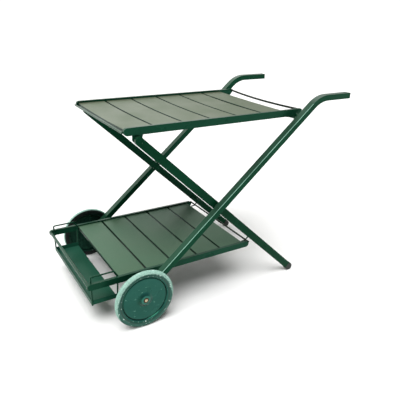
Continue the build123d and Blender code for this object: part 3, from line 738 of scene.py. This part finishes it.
# Bar and wire of the lower tray. A 9.5 mm bar crosses the open front over the shelf, and a 6 mm wire at
# the rear drops into the hooks on the legs. Both are welded to the insides of the rails and enamelled.
bar_run = [(-0.481, -0.1995, 0.1615), (-0.481, 0.1995, 0.1615)]
front_bar = shape("lower_front_round_bar", bent_wire, bar_run, Thick=0.0095, Finish=wire_enamel)
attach(front_bar, "lower_tray")
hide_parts("lower_front_bar")
catch_run = [(0.1168, -0.2075, 0.1655), (0.1168, 0.2075, 0.1655)]
catch_wire = shape("lower_rear_catch_wire", bent_wire, catch_run, Thick=0.006, Bend=0.005, Finish=brown_wire)
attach(catch_wire, "lower_tray")
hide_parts("lower_rear_wire")

# Hooks on the legs. A 5 mm wire is welded to the inner face of each leg and bent forward under the rear
# wire of the lower tray, which it carries. Enamelled like the guards.
hook_line = [(0.142, 0.2105, 0.178), (0.142, 0.182, 0.178), (0.12, 0.18, 0.1579), (0.105, 0.18, 0.1571)]
for tag, side in sides.items():
    hook_run = [(x, side * y, z) for x, y, z in hook_line]
    hook = shape(f"leg_wire_hook_{tag}", bent_wire, hook_run, Thick=0.005, Finish=wire_enamel)
    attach(hook, "legs")
    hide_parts(f"leg_hook_{tag}")

# Lugs of the lower tray. Cut from 3 mm plate and welded inside the rails, they turn on the rod that ties
# the arms together above the axle. Green enamel.
lug_head = [(low_pin.x - 0.013, 0.167), (low_pin.x - 0.013, 0.148), (low_pin.x - 0.0075, low_pin.z)]
lug_foot = bow(low_pin.x, low_pin.z, 0.008, 200, 340, 12)
lug_outline = lug_head + lug_foot + [(2 * low_pin.x - x, z) for x, z in lug_head[::-1]]
work = bmesh.new()
for side in sides.values():
    slab(work, lug_outline, side * plate_in, side * plate_out, 0.0005)
lower_lugs = flats(new_piece("lower_tray_lugs", work, rail_enamel))
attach(lower_lugs, "lower_tray")
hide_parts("lower_lugs")

# Bottle shelf. One blank of 1.2 mm sheet folded up at the front and both ends, hung low in front of the
# lower tray. Green enamel inside and out, a shade bluer than the rails, with a little dust and painted sheen on
# its floor.
low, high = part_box("bottle_shelf")
work = bmesh.new()
corners = [
    work.verts.new((x, y, z))
    for x, y in ((high[0], low[1]), (low[0], low[1]), (low[0], high[1]), (high[0], high[1]))
    for z in (low[2], high[2])
]
work.faces.new((corners[0], corners[2], corners[4], corners[6]))
for i in (0, 2, 4):
    work.faces.new((corners[i], corners[i + 2], corners[i + 3], corners[i + 1]))
bmesh.ops.recalc_face_normals(work, faces=work.faces)
if next(f for f in work.faces if abs(f.normal.z) > 0.9).normal.z > 0:
    bmesh.ops.reverse_faces(work, faces=work.faces)
folds = [e for e in work.edges if len(e.link_faces) == 2]
bmesh.ops.bevel(work, geom=folds, offset=0.0025, segments=4, profile=0.5, affect="EDGES")
shelf_mesh = bpy.data.meshes.new("bottle_shelf_tray")
work.to_mesh(shelf_mesh)
work.free()
shelf_mesh.polygons.foreach_set("use_smooth", [True] * len(shelf_mesh.polygons))
shelf_enamel = enamel("green enamel on shelf", "#144030", "#1B4A3A", "#5F7A6C", gloss=0.3, haze=0.15, chip=0.8)
shelf_mesh.materials.append(shelf_enamel)
shelf = sheet_metal(put("bottle_shelf_tray", shelf_mesh), 0.0012)
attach(shelf, "lower_tray")
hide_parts("bottle_shelf")

# Guards. A 5 mm wire at each end of the shelf rises inside the rail, runs level above it to keep bottles
# in and comes down again behind; its feet are welded to the shelf. Enamelled like the front bar.
guard_y = 0.1975
guard_loop = [(-0.47, 0.087), (-0.4715, 0.188), (-0.397, 0.188), (-0.384, 0.168), (-0.388, 0.087)]
for tag, side in sides.items():
    guard_run = [(x, side * guard_y, z) for x, z in guard_loop]
    sizes = {"Thick": 0.0052, "Bend": 0.005}
    guard = shape(f"bottle_guard_wire_{tag}", bent_wire, guard_run, Finish=wire_enamel, **sizes)
    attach(guard, "lower_tray")
    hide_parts(f"bottle_guard_{tag}")


# Wheels. A pressed and spun steel disc, teal enamel over an old coat, carries a solid rubber tyre with a
# ribbed tread. The disc rolls into a groove at its rim and rises to a cone round the hub.
def far_from(tree, place, centre):
    """How far a point lies from a line across the cart through a centre."""
    away = {"Vector": place["Object"], "Vector_001": centre}
    out = add(tree, "ShaderNodeVectorMath", away, operation="SUBTRACT").outputs["Vector"]
    in_side_view = {"Vector": out, "Vector_001": (1, 0, 1)}
    flat = add(tree, "ShaderNodeVectorMath", in_side_view, operation="MULTIPLY").outputs["Vector"]
    return add(tree, "ShaderNodeVectorMath", {"Vector": flat}, operation="LENGTH").outputs["Value"]


def painted_disc(name):
    """Teal gloss enamel with a few pale scratches, painted nearly black as shade in the rim groove and on the
    side towards the cart, and with painted shade round the foot of the cone on the shelf side.
    """
    finish = enamel(name, "#16423D", "#204E48", "#5F8F82", gloss=0.22, haze=0.0, chip=0.785, mirror=0.5)
    tree = finish.node_tree
    shader = tree.nodes["Principled BSDF"]
    before = shader.inputs["Base Color"].links[0].from_socket
    place = add(tree, "ShaderNodeTexCoord").outputs
    along = {"Vector": place["Object"], "Rotation": (0, radians(35), 0), "Scale": (60, 60, 260)}
    lines = noise(tree, add(tree, "ShaderNodeMapping", along).outputs["Vector"], 1.0, 3.0)
    scratched = blend(tree, ramp(tree, lines, 0.7, 0.73), before, "#7FB5A5")
    # below the level of its flat, that is in the groove at the rim and on the inner side, it is painted nearly
    # black: painted shade
    across = add(tree, "ShaderNodeSeparateXYZ", {"Vector": place["Object"]}).outputs["Y"]
    unshaded = ramp(tree, reckon(tree, "ABSOLUTE", across), 0.2612, 0.2629)
    tone = blend(tree, unshaded, "#0A1815", scratched)
    # the top of the cone is lighter, and round its foot on the shelf side it is darkened by painted shade
    from_axle = far_from(tree, place, axle_at)
    lighter_top = ramp(tree, from_axle, 0.0138, 0.0160, 0.5, 0.0)
    lightened = blend(tree, lighter_top, tone, "#3F7C6F")
    foot = ramp(tree, from_axle, 0.0150, 0.0165)
    shade_at = (-0.328, 0, 0.0985)
    fading = ramp(tree, far_from(tree, place, shade_at), 0.016, 0.026, 0.9, 0.0)
    with_foot_shade = blend(tree, reckon(tree, "MULTIPLY", foot, fading), lightened, "#0C2622")
    tree.links.new(with_foot_shade, shader.inputs["Base Color"])
    return finish


def tyre_rubber(name):
    """Pale mint rubber. Green paint went over its side wall with the disc and wore off the tread; the paint
    reaching further out low down is painted shade on the lower shoulder, and the side facing the cart is
    painted nearly black as shade.
    """
    finish, tree, shader, place = start_finish(name)
    radius = far_from(tree, place, axle_at)
    where = add(tree, "ShaderNodeSeparateXYZ", {"Vector": place["Object"]}).outputs
    mottle = noise(tree, place["Object"], 220.0, 5.0, 0.7)
    # the paint ends in a ragged line, near the groove above and out on the tread below: painted shade on the
    # lower shoulder
    line = ramp(tree, where["Z"], 0.02, 0.122, 0.1015, 0.0898)
    ragged = reckon(tree, "MULTIPLY_ADD", mottle, 0.006, reckon(tree, "SUBTRACT", radius, line))
    bare_and_lit = ramp(tree, ragged, 0.0026, 0.0040)
    wall_tone = blend(tree, ramp(tree, radius, 0.0864, 0.0872), "#1B4A3E", "#285D50")
    tread_tone = blend(tree, ramp(tree, mottle, 0.35, 0.7), "#86AFA0", "#B2D4C8")
    painted = blend(tree, bare_and_lit, wall_tone, tread_tone)
    # flecks of bare rubber 1 to 3 mm across in the painted wall
    fleck = ramp(tree, noise(tree, place["Object"], 120.0, 2.0), 0.648, 0.66)
    flecked = blend(tree, fleck, painted, "#C9E2D8")
    # the side that faces the cart is painted nearly black: painted shade
    unshaded = ramp(tree, reckon(tree, "ABSOLUTE", where["Y"]), 0.2530, 0.2550)
    tone = blend(tree, unshaded, "#0B1613", flecked)
    dress(tree, shader, tone, ramp(tree, bare_and_lit, 0.0, 1.0, 0.4, 0.8), mottle, 0.4, 0.0003)
    shader.inputs["IOR"].default_value = 1.52
    shader.inputs["Specular IOR Level"].default_value = 0.3
    return finish


ribs_round, given = pattern("tread ribs", Count=190, Width=0.0007)
rib_ring = add(ribs_round, "GeometryNodeCurvePrimitiveCircle", {"Resolution": 5, "Radius": given["Width"]})
one_rib = sweep(ribs_round, line_of(ribs_round, given), rib_ring.outputs["Curve"])
hub_points = add(ribs_round, "GeometryNodePoints", {"Count": given["Count"], "Position": axle_at})
number = add(ribs_round, "GeometryNodeInputIndex").outputs["Index"]
part_turn = reckon(ribs_round, "DIVIDE", number, given["Count"])
about_axle = spot(ribs_round, Y=reckon(ribs_round, "MULTIPLY", part_turn, 2 * pi))
each_rib = {
    "Points": hub_points.outputs["Points"],
    "Instance": one_rib,
    "Rotation": add(ribs_round, "FunctionNodeEulerToRotation", {"Euler": about_axle}).outputs["Rotation"],
}
close(ribs_round, given, add(ribs_round, "GeometryNodeInstanceOnPoints", each_rib).outputs["Instances"])

disc_enamel = painted_disc("teal enamel on spun disc")
mint_rubber = tyre_rubber("mint rubber with painted wall")
# sections are (radius, how far out) from the inner face of the wheel
wheel_face = 0.25
tyre_section = [(0.080, 0.004), (0.084, 0.0022), (0.091, 0.0015), (0.0945, 0.0020), (0.0962, 0.0031)]
tyre_section += [(0.0978, 0.0052), (0.0988, 0.0074), (0.0990, 0.0090), (0.0987, 0.0109), (0.0979, 0.0131)]
tyre_section += [(0.0965, 0.0150), (0.0947, 0.0164), (0.0925, 0.0172), (0.0900, 0.0175), (0.0882, 0.0174)]
tyre_section += [(0.0872, 0.0168), (0.0864, 0.0166), (0.0858, 0.0171), (0.0850, 0.0174), (0.0835, 0.0172)]
tyre_section += [(0.0824, 0.0160), (0.080, 0.0145)]
rib_section = [(0.0964, 0.0030), (0.0980, 0.0052), (0.0990, 0.0074), (0.0993, 0.0090), (0.0990, 0.0110)]
rib_section += [(0.0981, 0.0133), (0.0967, 0.0152), (0.0948, 0.0166), (0.0926, 0.0174)]
disc_section = [(0.009, 0.020), (0.0132, 0.020), (0.0142, 0.0195), (0.0225, 0.0145), (0.0245, 0.0134)]
disc_section += [(0.0265, 0.0130), (0.0700, 0.0130), (0.0722, 0.0126), (0.0738, 0.0112), (0.0750, 0.0107)]
disc_section += [(0.0760, 0.0116), (0.0768, 0.0138), (0.0778, 0.0146), (0.080, 0.0145), (0.080, 0.004)]
disc_section += [(0.0768, 0.0042), (0.0762, 0.0075), (0.0750, 0.0088), (0.0720, 0.0102), (0.0265, 0.0106)]
disc_section += [(0.0225, 0.0118), (0.0142, 0.0150), (0.0132, 0.003), (0.009, 0.003)]
for tag, side in sides.items():
    work = bmesh.new()
    turn(work, [(r, wheel_face + out) for r, out in tyre_section], axle_at, side, 128)
    rib_run = [(r, side * (wheel_face + out), 0) for r, out in rib_section]
    ribs = shape("ribs", ribs_round, rib_run, Finish=mint_rubber)
    work.from_mesh(ribs.data)
    bpy.data.objects.remove(ribs)
    tyre = new_piece(f"ribbed_tyre_{tag}", work, mint_rubber)
    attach(tyre, f"wheel_{tag}")
    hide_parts(f"tyre_{tag}")
    work = bmesh.new()
    turn(work, [(r, wheel_face + out) for r, out in disc_section], axle_at, side, 128)
    disc = flats(new_piece(f"spun_disc_{tag}", work, disc_enamel))
    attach(disc, f"wheel_{tag}")
    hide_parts(f"wheel_disc_{tag}")

# Axle and its caps. A 10 mm steel bar runs through arms and wheels; a sprung cap is pushed on each end and
# has gone dark brown, while the turned end of the bar in it still shows a dull brassy wash.
brassy = steel("dull brassy wash on steel", "#D2C2A2", "#94785A", 0.4)
brown_cap = steel("browned sprung steel", "#54402E", "#33241A", 0.5)
work = bmesh.new()
axle_end = [(0, 0.2708), (0.0012, 0.2708), (0.0016, 0.2713)]
axle_end += [(0.0036, 0.2715), (0.0046, 0.2712), (0.005, 0.2707)]
turn(work, both_ends(axle_end), axle_at, whole=False)
axle = flats(new_piece("wheel_axle", work, brassy))
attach(axle, "arms")
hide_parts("axle")
cap = [(0.005, 0.2703), (0.0085, 0.2703), (0.0085, 0.2706), (0.0078, 0.2712)]
cap += [(0.0066, 0.2714), (0.0058, 0.2711), (0.005, 0.2707)]
work = bmesh.new()
for side in sides.values():
    turn(work, cap, axle_at, side)
caps = flats(new_piece("axle_push_caps", work, brown_cap))
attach(caps, "arms")
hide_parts("axle_caps")
for held in frame["nodes"]["axle_washers"].material_slots:
    held.material = bare_steel
